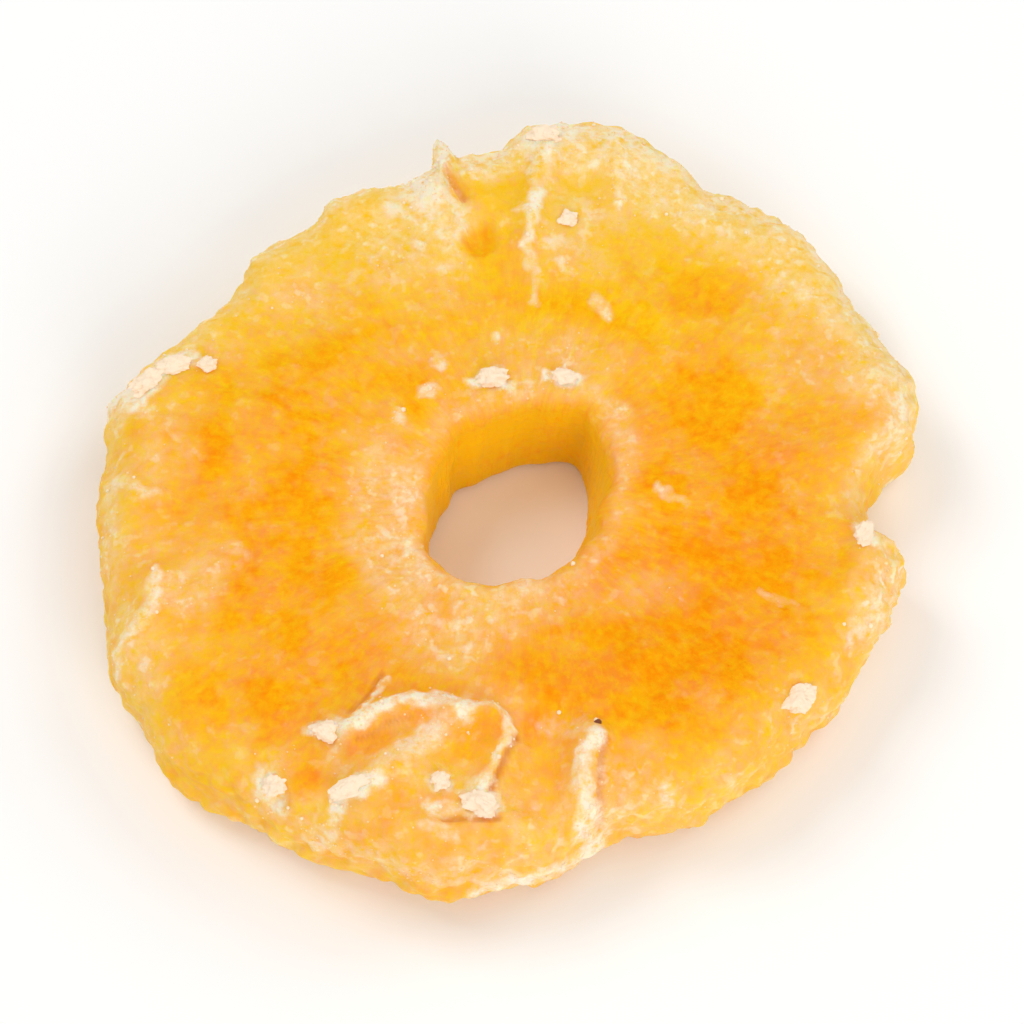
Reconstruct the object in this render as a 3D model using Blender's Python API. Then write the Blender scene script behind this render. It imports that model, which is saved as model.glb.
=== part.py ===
"""Dried pineapple ring: one cored slice, candied, air dried and dusted with sugar.

The slice is one solid. A cross-section is spun round the core hole and then
shaped: the rim gets the lobes and nicks of the peeled fruit, the faces get the
folds, the split and the pit left by drying, and the largest sugar crystals are
fused on. The origin is at the middle of the underside, +Z is up, and -Y is the
crumpled front of the slice.
"""

import math

import bmesh
import bpy
from mathutils import Vector, noise
from mathutils.bvhtree import BVHTree

MM = 0.001

# Driving dimensions, in metres
THICKNESS = 11.0 * MM
FLESH_WIDTH = 27.0 * MM
HOLE_WIDTH = 16.4 * MM
HOLE_DEPTH = 17.3 * MM
HOLE_CENTRE = Vector((0.6 * MM, -1.6 * MM))
HOLE_TAPER = 2.6 * MM
HOLE_SKEW = Vector((-1.1 * MM, -0.1 * MM))
HOLE_SQUARENESS = 0.04

# The hole is longer one way: that way in degrees, its share at the face, its gain by the underside
HOLE_LEAN_WAY = 48.0
HOLE_LEAN = 0.09
HOLE_LEAN_GAIN = 0.03

# Corner that the core cutter left low in the wall: direction, spread in degrees, share of the reach
HOLE_CORNER_WAY = 53.0
HOLE_CORNER_SPREAD = 24.0
HOLE_CORNER = 0.2

# Nibbles round the edge of the hole: how many there are, their depth as a share, their phase
HOLE_NIBBLES = ((9, 0.02, 0.0), (14, 0.015, 1.0))

# Rounding of the cross-section: how far each edge reaches along and down
RIM_TOP_ROUND = (4.2 * MM, 4.6 * MM)
RIM_BASE_ROUND = (3.0 * MM, 3.4 * MM)
HOLE_TOP_ROUND = (1.5 * MM, 1.3 * MM)
HOLE_BASE_ROUND = (1.2 * MM, 1.2 * MM)

# How finely the solid is cut, and how close two points of it may lie
MERGE_DISTANCE = 0.001 * MM
TURN_STEPS = 137
ROUND_STEPS = 5
HOLE_ROUND_STEPS = 2
TOP_STEPS = 17
BASE_STEPS = 3
WALL_STEPS = 2

# Crests and nicks of the rim: direction in degrees from +X, reach in mm
RIM_REACH = (
    (-4.0, 30.9),
    (0.5, 31.2),
    (5.2, 32.3),
    (9.8, 36.0),
    (17.0, 37.5),
    (24.0, 36.2),
    (42.0, 36.4),
    (58.5, 34.9),
    (65.0, 36.8),
    (76.0, 38.0),
    (87.0, 37.9),
    (93.0, 34.8),
    (98.4, 34.4),
    (100.5, 36.8),
    (102.6, 33.2),
    (118.0, 33.2),
    (126.0, 31.9),
    (134.0, 32.4),
    (141.0, 31.0),
    (152.0, 33.0),
    (160.0, 34.6),
    (168.0, 35.9),
    (175.0, 35.6),
    (187.0, 36.3),
    (220.0, 38.3),
    (251.0, 36.8),
    (260.0, 37.0),
    (273.0, 35.6),
    (286.0, 31.8),
    (299.0, 33.5),
    (317.0, 33.7),
    (327.0, 33.9),
    (343.0, 34.7),
    (350.0, 34.9),
    (353.0, 31.5),
)

# Slow rise and fall of the upper face, and the finer lumps on it, each with its own slice of the noise
SWELL_HEIGHT = 1.2 * MM
SWELL_SIZE = 16.0 * MM
SWELL_SLICE = 0.0
LUMP_HEIGHT = 0.3 * MM
LUMP_SIZE = 4.5 * MM
LUMP_SLICE = 0.05

# Lumps of the rim's wall, and how far its lower edge curls up off the table
RIM_LUMP_DEPTH = 1.0 * MM
RIM_LUMP_SIZE = 6.5 * MM
CURL_HEIGHT = 2.2 * MM
CURL_SIZE = 13.0 * MM
CURL_SLICE = 0.02
CURL_START = 0.78

# Share of the thickness below which the upper face's relief no longer reaches
RELIEF_FLOOR = 0.2

# Foot of a fold and brim of a hollow, as multiples of their half width
FOLD_FOOT = 2.0
HOLLOW_BRIM = 1.4

# Folds standing on the upper face: points along the crest, half width, height, all in mm
FOLDS = (
    (((-13.4, -25.0), (-12.2, -24.1), (-10.5, -23.2), (-8.2, -22.7), (-4.1, -23.3), (-2.1, -23.4)), 1.1, 1.1),
    (((-2.1, -23.4), (-0.6, -24.2), (0.0, -25.6), (-0.6, -27.1), (-2.3, -30.2)), 1.0, 0.9),
    (((-13.4, -31.0), (-10.5, -28.5), (-8.2, -27.1), (-4.4, -24.0)), 1.3, 0.9),
    (((6.8, -25.6), (6.2, -28.2), (6.4, -31.0), (6.3, -34.4)), 1.3, 1.3),
    (((9.6, -32.6), (12.8, -31.6), (13.1, -29.5)), 1.2, 1.1),
    (((-30.3, -10.2), (-30.6, -13.0), (-32.3, -14.8), (-34.0, -16.9)), 1.2, 0.8),
    (((3.1, 32.4), (1.8, 27.0), (1.5, 23.5)), 1.0, 0.8),
    (((9.3, 33.9), (9.7, 27.4)), 1.0, 0.5),
    (((-34.2, -1.4), (-30.9, -2.6)), 1.4, 0.6),
    (((31.0, -7.0), (29.6, -11.4)), 1.6, 0.6),
    (((-4.9, 33.4), (-3.8, 30.4), (-2.2, 27.4)), 1.1, 0.5),
    (((-7.2, 34.8), (-7.6, 31.6), (-6.6, 28.4)), 1.1, 0.6),
    (((-11.0, -33.6), (-5.0, -35.2), (1.5, -34.2)), 1.5, 0.6),
)

# Hollows between the folds, the split behind the flap, and the round pit
HOLLOWS = (
    (((-11.8, -26.3), (-9.6, -25.2)), 1.2, 0.4),
    (((-5.2, -27.4), (-2.4, -25.3)), 1.6, 0.4),
    (((2.6, -24.6), (2.4, -31.0)), 2.4, 0.9),
    (((-9.0, -31.2), (-5.2, -32.6)), 1.5, 0.6),
    (((10.0, -26.8), (9.8, -29.8)), 1.7, 0.9),
    (((-6.2, 33.4), (-5.8, 30.9), (-4.2, 27.6)), 0.7, 0.6),
    (((-2.8, 23.2), (-2.8, 23.7)), 1.5, 1.3),
    (((14.5, 17.6), (20.0, 18.6)), 4.4, 0.3),
)

# Largest sugar crystals: place on the slice, half length, half width, turn in degrees
CRYSTALS = (
    ((24.4, -20.9), 1.5, 1.3, 20.0),
    ((-31.6, 9.2), 1.6, 1.0, 35.0),
    ((-29.4, 10.8), 1.4, 0.9, 15.0),
    ((-26.5, 10.8), 0.8, 0.7, 0.0),
    ((-15.3, -25.0), 1.6, 0.9, -10.0),
    ((-19.9, -29.3), 1.1, 0.9, 60.0),
    ((-2.5, -31.7), 1.5, 1.1, -20.0),
    ((-5.9, -29.8), 0.9, 0.8, 40.0),
    ((3.1, 34.3), 1.5, 1.0, -20.0),
    ((5.1, 25.3), 0.8, 0.8, 0.0),
    ((-1.6, 9.6), 1.3, 0.9, 10.0),
    ((4.8, 9.4), 1.2, 0.7, -10.0),
    ((30.4, -5.9), 1.1, 0.7, 80.0),
    ((-13.4, -30.5), 1.8, 0.8, 30.0),
)

# Crystals: height as a share of the width, share of it lifted clear, chipping, chips per radius, cuts
CRYSTAL_RISE = 0.6
CRYSTAL_LIFT = 0.15
CRYSTAL_CHIP = 0.5
CRYSTAL_FACETS = 1.7
CRYSTAL_CUTS = 2

# The flesh: linear colour and roughness
FLESH_COLOUR = (1.0, 0.40, 0.012, 1.0)
FLESH_ROUGHNESS = 0.45


def clear_scene():
    """Remove whatever the open file holds."""
    for item in list(bpy.data.objects):
        bpy.data.objects.remove(item, do_unlink=True)


def smooth_step(t):
    """Ease from 0 to 1 with level ends."""
    t = min(max(t, 0.0), 1.0)
    return t * t * (3.0 - 2.0 * t)


def rim_reach(angle):
    """Distance from the middle to the rim in a direction, eased from crest to nick."""
    degrees = (math.degrees(angle) - RIM_REACH[0][0]) % 360.0 + RIM_REACH[0][0]
    closing = (RIM_REACH[0][0] + 360.0, RIM_REACH[0][1])
    knots = RIM_REACH + (closing,)
    for (start, reach), (end, next_reach) in zip(knots, knots[1:]):
        if degrees <= end:
            share = smooth_step((degrees - start) / (end - start))
            return (reach + (next_reach - reach) * share) * MM
    return closing[1] * MM


def hole_edge(angle, height):
    """Point on the wall of the core hole, which narrows and leans towards the underside."""
    depth = 1.0 - height / THICKNESS
    half_width = HOLE_WIDTH / 2 - HOLE_TAPER / 2 * depth
    half_depth = HOLE_DEPTH / 2 - HOLE_TAPER / 2 * depth
    reach = 1.0 - HOLE_SQUARENESS * math.cos(4 * angle)
    lean = HOLE_LEAN + HOLE_LEAN_GAIN * depth
    reach += lean * math.cos(2 * (angle - math.radians(HOLE_LEAN_WAY)))
    off_corner = (math.degrees(angle) - HOLE_CORNER_WAY) / HOLE_CORNER_SPREAD
    reach += HOLE_CORNER * depth * math.exp(-off_corner ** 2)
    for count, share, phase in HOLE_NIBBLES:
        reach += share * math.sin(count * angle + phase)
    centre = HOLE_CENTRE + HOLE_SKEW * depth
    offset = Vector((half_width * math.cos(angle), half_depth * math.sin(angle)))
    return centre + offset * reach


def arc(centre, reach, start, steps):
    """Points of a quarter ellipse turning clockwise from a start direction, ends included."""
    points = []
    for step in range(steps + 1):
        angle = start - math.pi / 2 * step / steps
        points.append((centre[0] + reach[0] * math.cos(angle), centre[1] + reach[1] * math.sin(angle)))
    return points


def straight(start, end, steps):
    """Points between two ends, which the neighbouring arcs already hold."""
    points = []
    for step in range(1, steps):
        share = step / steps
        points.append((start[0] + (end[0] - start[0]) * share, start[1] + (end[1] - start[1]) * share))
    return points


def section_points():
    """Closed cross-section of the flesh: x from the hole wall to the rim, z up from the underside."""
    top, width = THICKNESS, FLESH_WIDTH
    hole_top = arc((HOLE_TOP_ROUND[0], top - HOLE_TOP_ROUND[1]), HOLE_TOP_ROUND, math.pi, HOLE_ROUND_STEPS)
    rim_top = arc((width - RIM_TOP_ROUND[0], top - RIM_TOP_ROUND[1]), RIM_TOP_ROUND, math.pi / 2, ROUND_STEPS)
    rim_base = arc((width - RIM_BASE_ROUND[0], RIM_BASE_ROUND[1]), RIM_BASE_ROUND, 0.0, ROUND_STEPS)
    hole_base = arc((HOLE_BASE_ROUND[0], HOLE_BASE_ROUND[1]), HOLE_BASE_ROUND, -math.pi / 2, HOLE_ROUND_STEPS)
    points = list(hole_top)
    points += straight(hole_top[-1], rim_top[0], TOP_STEPS)
    points += rim_top
    points += straight(rim_top[-1], rim_base[0], WALL_STEPS)
    points += rim_base
    points += straight(rim_base[-1], hole_base[0], BASE_STEPS)
    points += hole_base
    points += straight(hole_base[-1], hole_top[0], WALL_STEPS + 1)
    return points


def spun_blank():
    """Spin the cross-section into a plain ring whose hole is one flesh width across."""
    bm = bmesh.new()
    loop = [bm.verts.new((FLESH_WIDTH / 2 + x, 0.0, z)) for x, z in section_points()]
    edges = [bm.edges.new((a, b)) for a, b in zip(loop, loop[1:] + loop[:1])]
    bmesh.ops.spin(
        bm,
        geom=loop + edges,
        cent=(0.0, 0.0, 0.0),
        axis=(0.0, 0.0, 1.0),
        angle=2 * math.pi,
        steps=TURN_STEPS,
        use_merge=True,
    )
    bmesh.ops.remove_doubles(bm, verts=bm.verts, dist=MERGE_DISTANCE)
    bmesh.ops.recalc_face_normals(bm, faces=bm.faces)
    return bm


def distance_to_path(place, path):
    """Shortest way from a place to a path of straight pieces, in mm."""
    nearest = math.inf
    for start, end in zip(path, path[1:]):
        start, end = Vector(start), Vector(end)
        run = end - start
        share = min(max((place - start).dot(run) / run.length_squared, 0.0), 1.0)
        nearest = min(nearest, (place - start - run * share).length)
    return nearest


def relief(place):
    """Height that folds and hollows add to the upper face at a place."""
    millimetres = place / MM
    height = 0.0
    for path, half_width, rise in FOLDS:
        height += rise * smooth_step(1.0 - distance_to_path(millimetres, path) / (FOLD_FOOT * half_width))
    for path, half_width, drop in HOLLOWS:
        height -= drop * smooth_step(1.0 - distance_to_path(millimetres, path) / (HOLLOW_BRIM * half_width))
    return height * MM


def upper_face_height(place):
    """Change of the upper face at a place: slow swell, small lumps, folds and hollows."""
    swell = SWELL_HEIGHT * noise.noise(Vector((place.x, place.y, SWELL_SLICE)) / SWELL_SIZE)
    lumps = LUMP_HEIGHT * noise.noise(Vector((place.x, place.y, LUMP_SLICE)) / LUMP_SIZE)
    return swell + lumps + relief(place)


def rim_curl(outer, across):
    """How far the lower edge stands off the table at a place along the rim."""
    wave = noise.noise(Vector((outer.x, outer.y, CURL_SLICE)) / CURL_SIZE)
    return CURL_HEIGHT * max(wave, 0.0) * smooth_step((across - CURL_START) / (1.0 - CURL_START))


def shape_slice(bm):
    """Move the points of the plain ring onto the lobed, folded, uneven slice."""
    for vert in bm.verts:
        angle = math.atan2(vert.co.y, vert.co.x)
        across = (math.hypot(vert.co.x, vert.co.y) - FLESH_WIDTH / 2) / FLESH_WIDTH
        height = vert.co.z
        inner = hole_edge(angle, height)
        direction = Vector((math.cos(angle), math.sin(angle)))
        outer = direction * rim_reach(angle)
        lump = noise.noise(Vector((outer.x, outer.y, height)) / RIM_LUMP_SIZE)
        outer += direction * RIM_LUMP_DEPTH * lump
        place = inner.lerp(outer, across)
        upper_share = smooth_step((height / THICKNESS - RELIEF_FLOOR) / (1.0 - RELIEF_FLOOR))
        rise = upper_share * upper_face_height(place) + (1.0 - upper_share) * rim_curl(outer, across)
        vert.co = (place.x, place.y, height + rise)


def add_crystal(collection, surface, place, half_length, half_width, turn):
    """One sugar crystal, a stretched ball of flat faces half sunk in the upper face."""
    start = Vector((place[0] * MM, place[1] * MM, 2 * THICKNESS))
    hit = surface.ray_cast(start, Vector((0.0, 0.0, -1.0)))[0]
    bm = bmesh.new()
    bmesh.ops.create_icosphere(bm, subdivisions=CRYSTAL_CUTS, radius=1.0)
    for vert in bm.verts:
        chip = noise.noise(vert.co * CRYSTAL_FACETS + Vector((place[0], place[1], 0.0)))
        vert.co *= 1.0 + CRYSTAL_CHIP * chip
    half_height = CRYSTAL_RISE * half_width
    size = Vector((half_length, half_width, half_height)) * MM
    bmesh.ops.scale(bm, vec=size, verts=bm.verts)
    mesh = bpy.data.meshes.new("sugar_crystal")
    bm.to_mesh(mesh)
    bm.free()
    crystal = bpy.data.objects.new("sugar_crystal", mesh)
    crystal.location = hit + Vector((0.0, 0.0, half_height * MM * CRYSTAL_LIFT))
    crystal.rotation_euler = (0.0, 0.0, math.radians(turn))
    collection.objects.link(crystal)


def fuse_crystals(ring, surface):
    """Join the sugar crystals to the slice with one Boolean union."""
    collection = bpy.data.collections.new("sugar_crystals")
    bpy.context.scene.collection.children.link(collection)
    for crystal in CRYSTALS:
        add_crystal(collection, surface, *crystal)
    union = ring.modifiers.new("fused_sugar", "BOOLEAN")
    union.operation = "UNION"
    union.operand_type = "COLLECTION"
    union.collection = collection
    union.solver = "EXACT"
    graph = bpy.context.evaluated_depsgraph_get()
    fused = bpy.data.meshes.new_from_object(ring.evaluated_get(graph))
    ring.modifiers.clear()
    ring.data = fused
    for crystal in list(collection.objects):
        bpy.data.objects.remove(crystal, do_unlink=True)
    bpy.data.collections.remove(collection)


def centre_on_origin(mesh):
    """Put the middle of the slice's box over the origin, with its underside at zero."""
    low = Vector([min(vert.co[axis] for vert in mesh.vertices) for axis in range(3)])
    high = Vector([max(vert.co[axis] for vert in mesh.vertices) for axis in range(3)])
    shift = Vector((-(low.x + high.x) / 2, -(low.y + high.y) / 2, -low.z))
    for vert in mesh.vertices:
        vert.co += shift


def candied_flesh():
    """Material of the sugared, half clear orange flesh."""
    material = bpy.data.materials.new("candied_flesh")
    material.use_nodes = True
    shader = material.node_tree.nodes["Principled BSDF"]
    shader.inputs["Base Color"].default_value = FLESH_COLOUR
    shader.inputs["Roughness"].default_value = FLESH_ROUGHNESS
    shader.inputs["Metallic"].default_value = 0.0
    return material


def build_ring():
    """Make the whole slice as one object."""
    bm = spun_blank()
    shape_slice(bm)
    bmesh.ops.triangulate(bm, faces=bm.faces)
    surface = BVHTree.FromBMesh(bm)
    mesh = bpy.data.meshes.new("pineapple_ring")
    bm.to_mesh(mesh)
    bm.free()
    ring = bpy.data.objects.new("pineapple_ring", mesh)
    bpy.context.scene.collection.objects.link(ring)
    fuse_crystals(ring, surface)
    centre_on_origin(ring.data)
    ring.data.materials.clear()
    ring.data.materials.append(candied_flesh())
    ring.data.shade_smooth()
    return ring


clear_scene()
build_ring()
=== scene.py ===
# %% [markdown]
# # A dried pineapple ring
# The real object is one cored slice of pineapple, soaked in syrup, air dried and
# tossed in sugar. Drying leaves it leathery and half clear, with a lobed rim, a
# crumpled front, fine fibres that run out from the core, and a pale bloom of
# sugar wherever the surface is high or torn.
# The solid slice is already made. This file gives it its fine surface, its
# sugar, its colours and its light. First the imported solid is loaded.

# %% Load the solid slice
import math

import bmesh
import bpy
import numpy as np
from mathutils import Matrix, Vector, noise
from mathutils.bvhtree import BVHTree


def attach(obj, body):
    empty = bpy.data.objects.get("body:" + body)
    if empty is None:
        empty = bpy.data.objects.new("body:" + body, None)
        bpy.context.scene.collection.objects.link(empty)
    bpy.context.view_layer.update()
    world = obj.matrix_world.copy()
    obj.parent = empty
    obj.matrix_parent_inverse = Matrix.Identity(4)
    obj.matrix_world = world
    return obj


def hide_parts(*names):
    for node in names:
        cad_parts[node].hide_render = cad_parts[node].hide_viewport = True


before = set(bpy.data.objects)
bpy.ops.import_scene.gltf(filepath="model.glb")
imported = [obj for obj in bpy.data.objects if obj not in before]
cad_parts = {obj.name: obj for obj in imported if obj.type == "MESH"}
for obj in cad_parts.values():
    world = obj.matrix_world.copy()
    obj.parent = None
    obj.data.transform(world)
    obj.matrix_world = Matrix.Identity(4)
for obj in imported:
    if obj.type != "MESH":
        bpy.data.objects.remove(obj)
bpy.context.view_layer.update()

MM = 0.001
NODE = "pineapple_ring"

# %% [markdown]
# ## Camera
# The slice is seen from above and in front, through a long lens, so that near
# and far edges come out almost the same size. The camera is placed by an angle
# above the table and by the width of table that fills the picture: the distance
# then follows from the lens.

# %% Camera
CAMERA_RISE = math.radians(62.0)
LENS = 200.0
SENSOR = 36.0
VIEW_WIDTH = 89.4 * MM
CLIP_START, CLIP_END = 0.01, 20.0
SLICE_THICKNESS = 11.0
AIM_X, AIM_Y = 0.2 * MM, -1.2 * MM

aim = Vector((AIM_X, AIM_Y, SLICE_THICKNESS / 2 * MM))
back = Vector((0.0, -math.cos(CAMERA_RISE), math.sin(CAMERA_RISE)))
camera_data = bpy.data.cameras.new("camera")
camera_data.lens = LENS
camera_data.sensor_width = SENSOR
camera_data.clip_start = CLIP_START
camera_data.clip_end = CLIP_END
camera = bpy.data.objects.new("camera", camera_data)
camera.location = aim + back * (VIEW_WIDTH * LENS / SENSOR)
camera.rotation_mode = "QUATERNION"
camera.rotation_quaternion = (-back).to_track_quat("-Z", "Y")
bpy.context.scene.collection.objects.link(camera)
bpy.context.scene.camera = camera
print("camera distance, mm:", round(VIEW_WIDTH * LENS / SENSOR / MM))

# %% [markdown]
# ## Colours and nodes
# Colours are written as a painter reads them off a screen, as sRGB hex values.
# Blender's shaders want linear light, so one function turns them over. A second
# small function adds a node to any tree, sets it up and links what feeds it.
# Shader trees and geometry trees are both built with it. A node may be given
# where a socket is wanted, and then stands for its first output.

# %% Helpers for colours and nodes
MATH, NOISE, MAP_RANGE = "ShaderNodeMath", "ShaderNodeTexNoise", "ShaderNodeMapRange"


def linear(hex_colour):
    """Turn an sRGB hex colour into the linear values that shaders use."""
    channels = []
    for start in (1, 3, 5):
        value = int(hex_colour[start:start + 2], 16) / 255
        channels.append(value / 12.92 if value <= 0.04045 else ((value + 0.055) / 1.055) ** 2.4)
    return (*channels, 1.0)


def fill_inputs(tree, node, inputs):
    """Fill or link the inputs of a node, which are given by name or number."""
    for socket, value in inputs.items():
        if isinstance(value, bpy.types.Node):
            value = value.outputs[0]
        if isinstance(value, bpy.types.NodeSocket):
            tree.links.new(value, node.inputs[socket])
        else:
            node.inputs[socket].default_value = value


def add_node(tree, kind, inputs=None, **settings):
    """Add a node, set its properties, and fill or link its inputs."""
    node = tree.nodes.new(kind)
    for name, value in settings.items():
        setattr(node, name, value)
    fill_inputs(tree, node, inputs or {})
    return node


print("orange in linear light:", [round(value, 3) for value in linear("#FBAA1C")])

# %% [markdown]
# ## Table and light
# The slice lies on a plain white table in a bright room. A soft window lamp
# hangs high behind it to the left and a dimmer lamp to the right, so that folds
# show a lit far side. A wider and stronger lamp in front lights the near wall.
# Lamps are put out of the mirror direction of the flat face: a white veil there
# would wash the orange out.

# %% Table
TABLE_REACH = 1.5


def plain_material(name, colour, roughness, ior=1.5, shine=0.5):
    """Material of one even colour and finish."""
    material = bpy.data.materials.new(name)
    material.use_nodes = True
    tree = material.node_tree
    look = {"Base Color": linear(colour), "Roughness": roughness, "IOR": ior, "Specular IOR Level": shine}
    fill_inputs(tree, tree.nodes["Principled BSDF"], look)
    return material


def white_table_top():
    """Matt white laminate, which shows the slice's warm shadow."""
    return plain_material("white_table_top", "#FCFCFB", roughness=0.9, shine=0.1)


table_mesh = bpy.data.meshes.new("table")
table_points = [(-TABLE_REACH, -TABLE_REACH, 0.0), (TABLE_REACH, -TABLE_REACH, 0.0)]
table_points += [(TABLE_REACH, TABLE_REACH, 0.0), (-TABLE_REACH, TABLE_REACH, 0.0)]
table_mesh.from_pydata(table_points, [], [(0, 1, 2, 3)])
table_mesh.materials.append(white_table_top())
table = bpy.data.objects.new("table", table_mesh)
bpy.context.scene.collection.objects.link(table)
print("table, m:", 2 * TABLE_REACH)

# %% Lamps and room
WHITE = "#FFFFFF"
# Name, place in metres, width in metres, power in watts
LAMPS = (
    ("window_lamp", (-0.5, 0.3, 0.75), 0.45, 2.7),
    ("right_fill", (0.55, 0.35, 0.6), 0.45, 1.4),
    ("front_fill", (0.3, -0.8, 0.5), 0.6, 4.0),
)
ROOM_STRENGTH = 0.515


def add_lamp(name, place, width, power):
    """Square soft lamp that looks at the slice."""
    data = bpy.data.lights.new(name, "AREA")
    data.size = width
    data.energy = power
    data.color = linear(WHITE)[:3]
    lamp = bpy.data.objects.new(name, data)
    lamp.location = place
    lamp.rotation_mode = "QUATERNION"
    lamp.rotation_quaternion = (aim - Vector(place)).to_track_quat("-Z", "Y")
    bpy.context.scene.collection.objects.link(lamp)


for lamp_values in LAMPS:
    add_lamp(*lamp_values)
room = bpy.data.worlds.new("bright_room")
room.use_nodes = True
room_light = room.node_tree.nodes["Background"]
room_light.inputs["Color"].default_value = linear(WHITE)
room_light.inputs["Strength"].default_value = ROOM_STRENGTH
bpy.context.scene.world = room
bpy.context.scene.view_settings.view_transform = "Standard"

# %% [markdown]
# ## The form of the slice
# A slice is a rule more than a list of points: a rounded cross-section goes once
# round the core hole, and its inner and outer ends follow the hole and the rim.
# The solid was made this way, so the fine mesh follows the same rule, with the
# same sizes in millimetres, but with some sixteen times as many faces. That
# leaves room for creases, fibres and a gnawed rim.

# %% Sizes of the slice
FLESH_WIDTH = 27.0
HOLE_WIDTH = 16.4
HOLE_DEPTH = 17.3
HOLE_CENTRE = (0.6, -1.6)
HOLE_TAPER = 2.6
HOLE_SKEW = (-1.1, -0.1)
HOLE_SQUARENESS = 0.04
HOLE_LEAN_WAY, HOLE_LEAN, HOLE_LEAN_GAIN = 48.0, 0.09, 0.03
HOLE_CORNER_WAY, HOLE_CORNER_SPREAD, HOLE_CORNER = 53.0, 24.0, 0.2
HOLE_NIBBLES = ((9, 0.02, 0.0), (14, 0.015, 1.0))
RIM_TOP_ROUND = (4.2, 4.6)
RIM_BASE_ROUND = (3.0, 3.4)
HOLE_TOP_ROUND = (1.5, 1.3)
HOLE_BASE_ROUND = (1.2, 1.2)

# Crests and nicks of the rim: direction in degrees from +X, reach in mm
RIM_REACH = (
    (-4.0, 30.9), (0.5, 31.2), (5.2, 32.3), (9.8, 36.0), (17.0, 37.5), (24.0, 36.2), (42.0, 36.4),
    (58.5, 34.9), (65.0, 36.8), (76.0, 38.0), (87.0, 37.9), (93.0, 34.8), (98.4, 34.4), (100.5, 36.8),
    (102.6, 33.2), (118.0, 33.2), (126.0, 31.9), (134.0, 32.4), (141.0, 31.0), (152.0, 33.0), (160.0, 34.6),
    (168.0, 35.9), (175.0, 35.6), (187.0, 36.3), (220.0, 38.3), (251.0, 36.8), (260.0, 37.0), (273.0, 35.6),
    (286.0, 31.8), (299.0, 33.5), (317.0, 33.7), (327.0, 33.9), (343.0, 34.7), (350.0, 34.9), (353.0, 31.5),
)
print("rim knots:", len(RIM_REACH))

# %% Rim and hole as functions of direction
def smooth_step(t):
    """Ease from 0 to 1 with level ends, for numbers and arrays."""
    t = np.clip(t, 0.0, 1.0)
    return t * t * (3.0 - 2.0 * t)


def rim_reach(angle):
    """Distance from the middle to the rim in each direction."""
    knots = np.array(RIM_REACH + ((RIM_REACH[0][0] + 360.0, RIM_REACH[0][1]),))
    degrees = (np.degrees(angle) - knots[0, 0]) % 360.0 + knots[0, 0]
    after = np.clip(np.searchsorted(knots[:, 0], degrees), 1, len(knots) - 1)
    start, end = knots[after - 1], knots[after]
    share = smooth_step((degrees - start[:, 0]) / (end[:, 0] - start[:, 0]))
    return start[:, 1] + (end[:, 1] - start[:, 1]) * share


def hole_edge(angle, height):
    """Points on the wall of the core hole, which narrows and leans towards the underside."""
    depth = 1.0 - height / SLICE_THICKNESS
    reach = 1.0 - HOLE_SQUARENESS * np.cos(4 * angle)
    reach = reach + (HOLE_LEAN + HOLE_LEAN_GAIN * depth) * np.cos(2 * (angle - math.radians(HOLE_LEAN_WAY)))
    off_corner = (np.degrees(angle) - HOLE_CORNER_WAY) / HOLE_CORNER_SPREAD
    reach = reach + HOLE_CORNER * depth * np.exp(-off_corner ** 2)
    for count, share, phase in HOLE_NIBBLES:
        reach = reach + share * np.sin(count * angle + phase)
    x = HOLE_CENTRE[0] + HOLE_SKEW[0] * depth + (HOLE_WIDTH - HOLE_TAPER * depth) / 2 * reach * np.cos(angle)
    y = HOLE_CENTRE[1] + HOLE_SKEW[1] * depth + (HOLE_DEPTH - HOLE_TAPER * depth) / 2 * reach * np.sin(angle)
    return np.stack((x, y), axis=1)


sweep = np.radians(np.arange(0.0, 360.0, 1.0))
print("rim reach, mm:", round(rim_reach(sweep).min(), 1), "to", round(rim_reach(sweep).max(), 1))

# %% [markdown]
# ## Folds, hollows and noise
# The crumpled front and the torn back are a handful of folds and hollows. Each
# is a short path with a width and a height, eased into the face around it. Noise
# swells the face and lumps the rim, because nothing in dried fruit is straight.

# %% Folds and hollows
# Path in mm, half width in mm, height or depth in mm
FOLDS = (
    (
        ((-13.4, -25.0), (-12.2, -24.1), (-10.5, -23.2), (-8.2, -22.7), (-4.1, -23.3), (-2.1, -23.4)),
        1.1, 1.1,
    ),
    (((-2.1, -23.4), (-0.6, -24.2), (0.0, -25.6), (-0.6, -27.1), (-2.3, -30.2)), 1.0, 0.9),
    (((-13.4, -31.0), (-10.5, -28.5), (-8.2, -27.1), (-4.4, -24.0)), 1.3, 0.9),
    (((6.8, -25.6), (6.2, -28.2), (6.4, -31.0), (6.3, -34.4)), 1.3, 1.3),
    (((9.6, -32.6), (12.8, -31.6), (13.1, -29.5)), 1.2, 1.1),
    (((-30.3, -10.2), (-30.6, -13.0), (-32.3, -14.8), (-34.0, -16.9)), 1.2, 0.8),
    (((3.1, 32.4), (1.8, 27.0), (1.5, 23.5)), 1.0, 0.8),
    (((9.3, 33.9), (9.7, 27.4)), 1.0, 0.5),
    (((-34.2, -1.4), (-30.9, -2.6)), 1.4, 0.6),
    (((31.0, -7.0), (29.6, -11.4)), 1.6, 0.6),
    (((-4.9, 33.4), (-3.8, 30.4), (-2.2, 27.4)), 1.1, 0.5),
    (((-7.2, 34.8), (-7.6, 31.6), (-6.6, 28.4)), 1.1, 0.6),
    (((-11.0, -33.6), (-5.0, -35.2), (1.5, -34.2)), 1.5, 0.6),
)
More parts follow.
